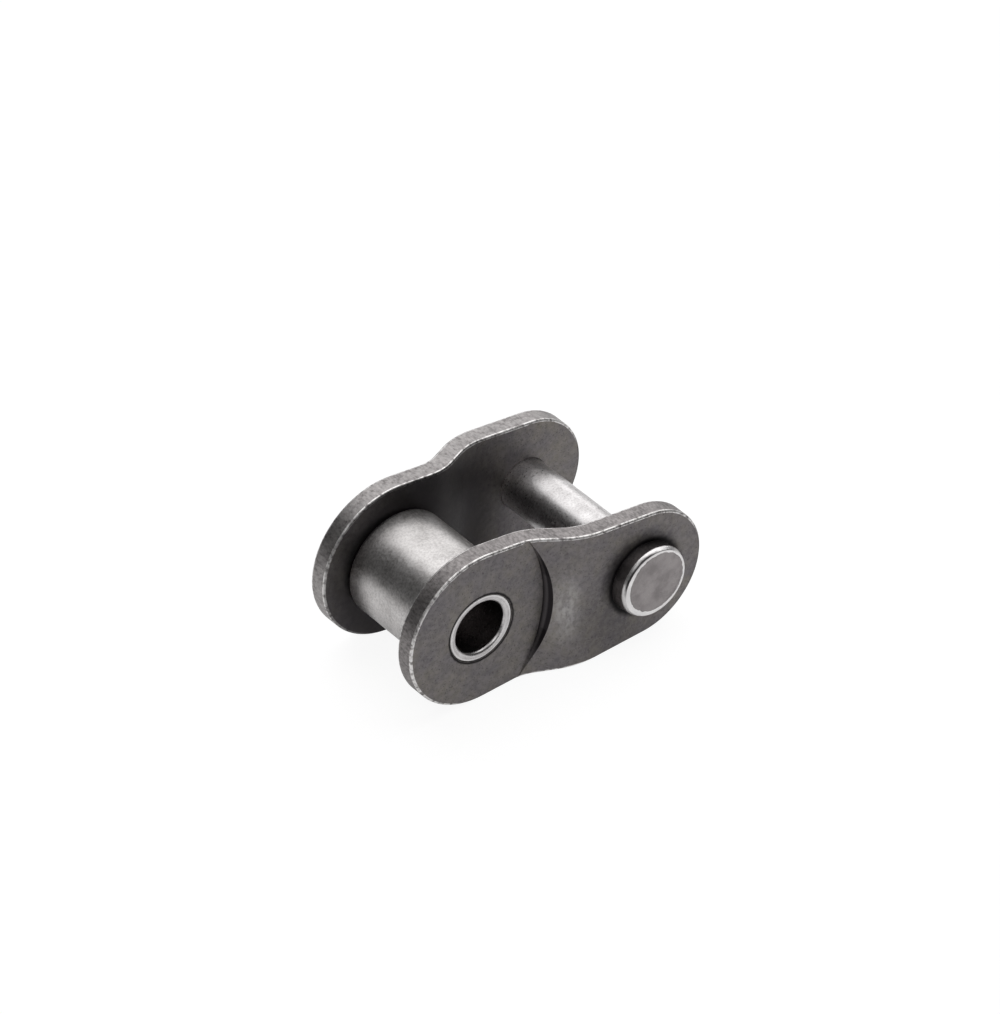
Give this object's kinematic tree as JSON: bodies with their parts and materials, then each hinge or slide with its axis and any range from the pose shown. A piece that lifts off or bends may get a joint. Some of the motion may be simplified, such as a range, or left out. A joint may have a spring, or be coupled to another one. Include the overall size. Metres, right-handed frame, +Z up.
{
  "type": "offset chain link",
  "caption": "Cranked single link of a roller chain: two offset side plates, a bush with a turning roller at the narrow end, and a headed pin held by a split pin at the wide end.",
  "frame": {"origin": "middle of the bush's bore", "axes": "+X from the bush's axis to the connecting pin's axis, +Y along both axes towards the far plate and the split pin, +Z up"},
  "size_m": [0.0237, 0.0183, 0.012],
  "materials": {
    "plate_steel": "tumbled and heat-treated, matt dark grey with paler cut edges",
    "bush_steel": "ground, bright",
    "roller_steel": "satin with a fine speckle",
    "pin_steel": "ground shank, smudged grey head with a bright rim",
    "split_pin_steel": "drawn wire"
  },
  "bodies": {
    "link": {"near_plate": "plate_steel", "far_plate": "plate_steel", "bush": "bush_steel", "connecting_pin": "pin_steel", "split_pin": "split_pin_steel"},
    "roller": {"roller": "roller_steel"}
  },
  "joints": [
    {"name": "roller_spin", "type": "hinge", "parent": "link", "child": "roller", "pos_m": [0, 0, 0], "axis": [0, 1, 0], "continuous": true}
  ]
}
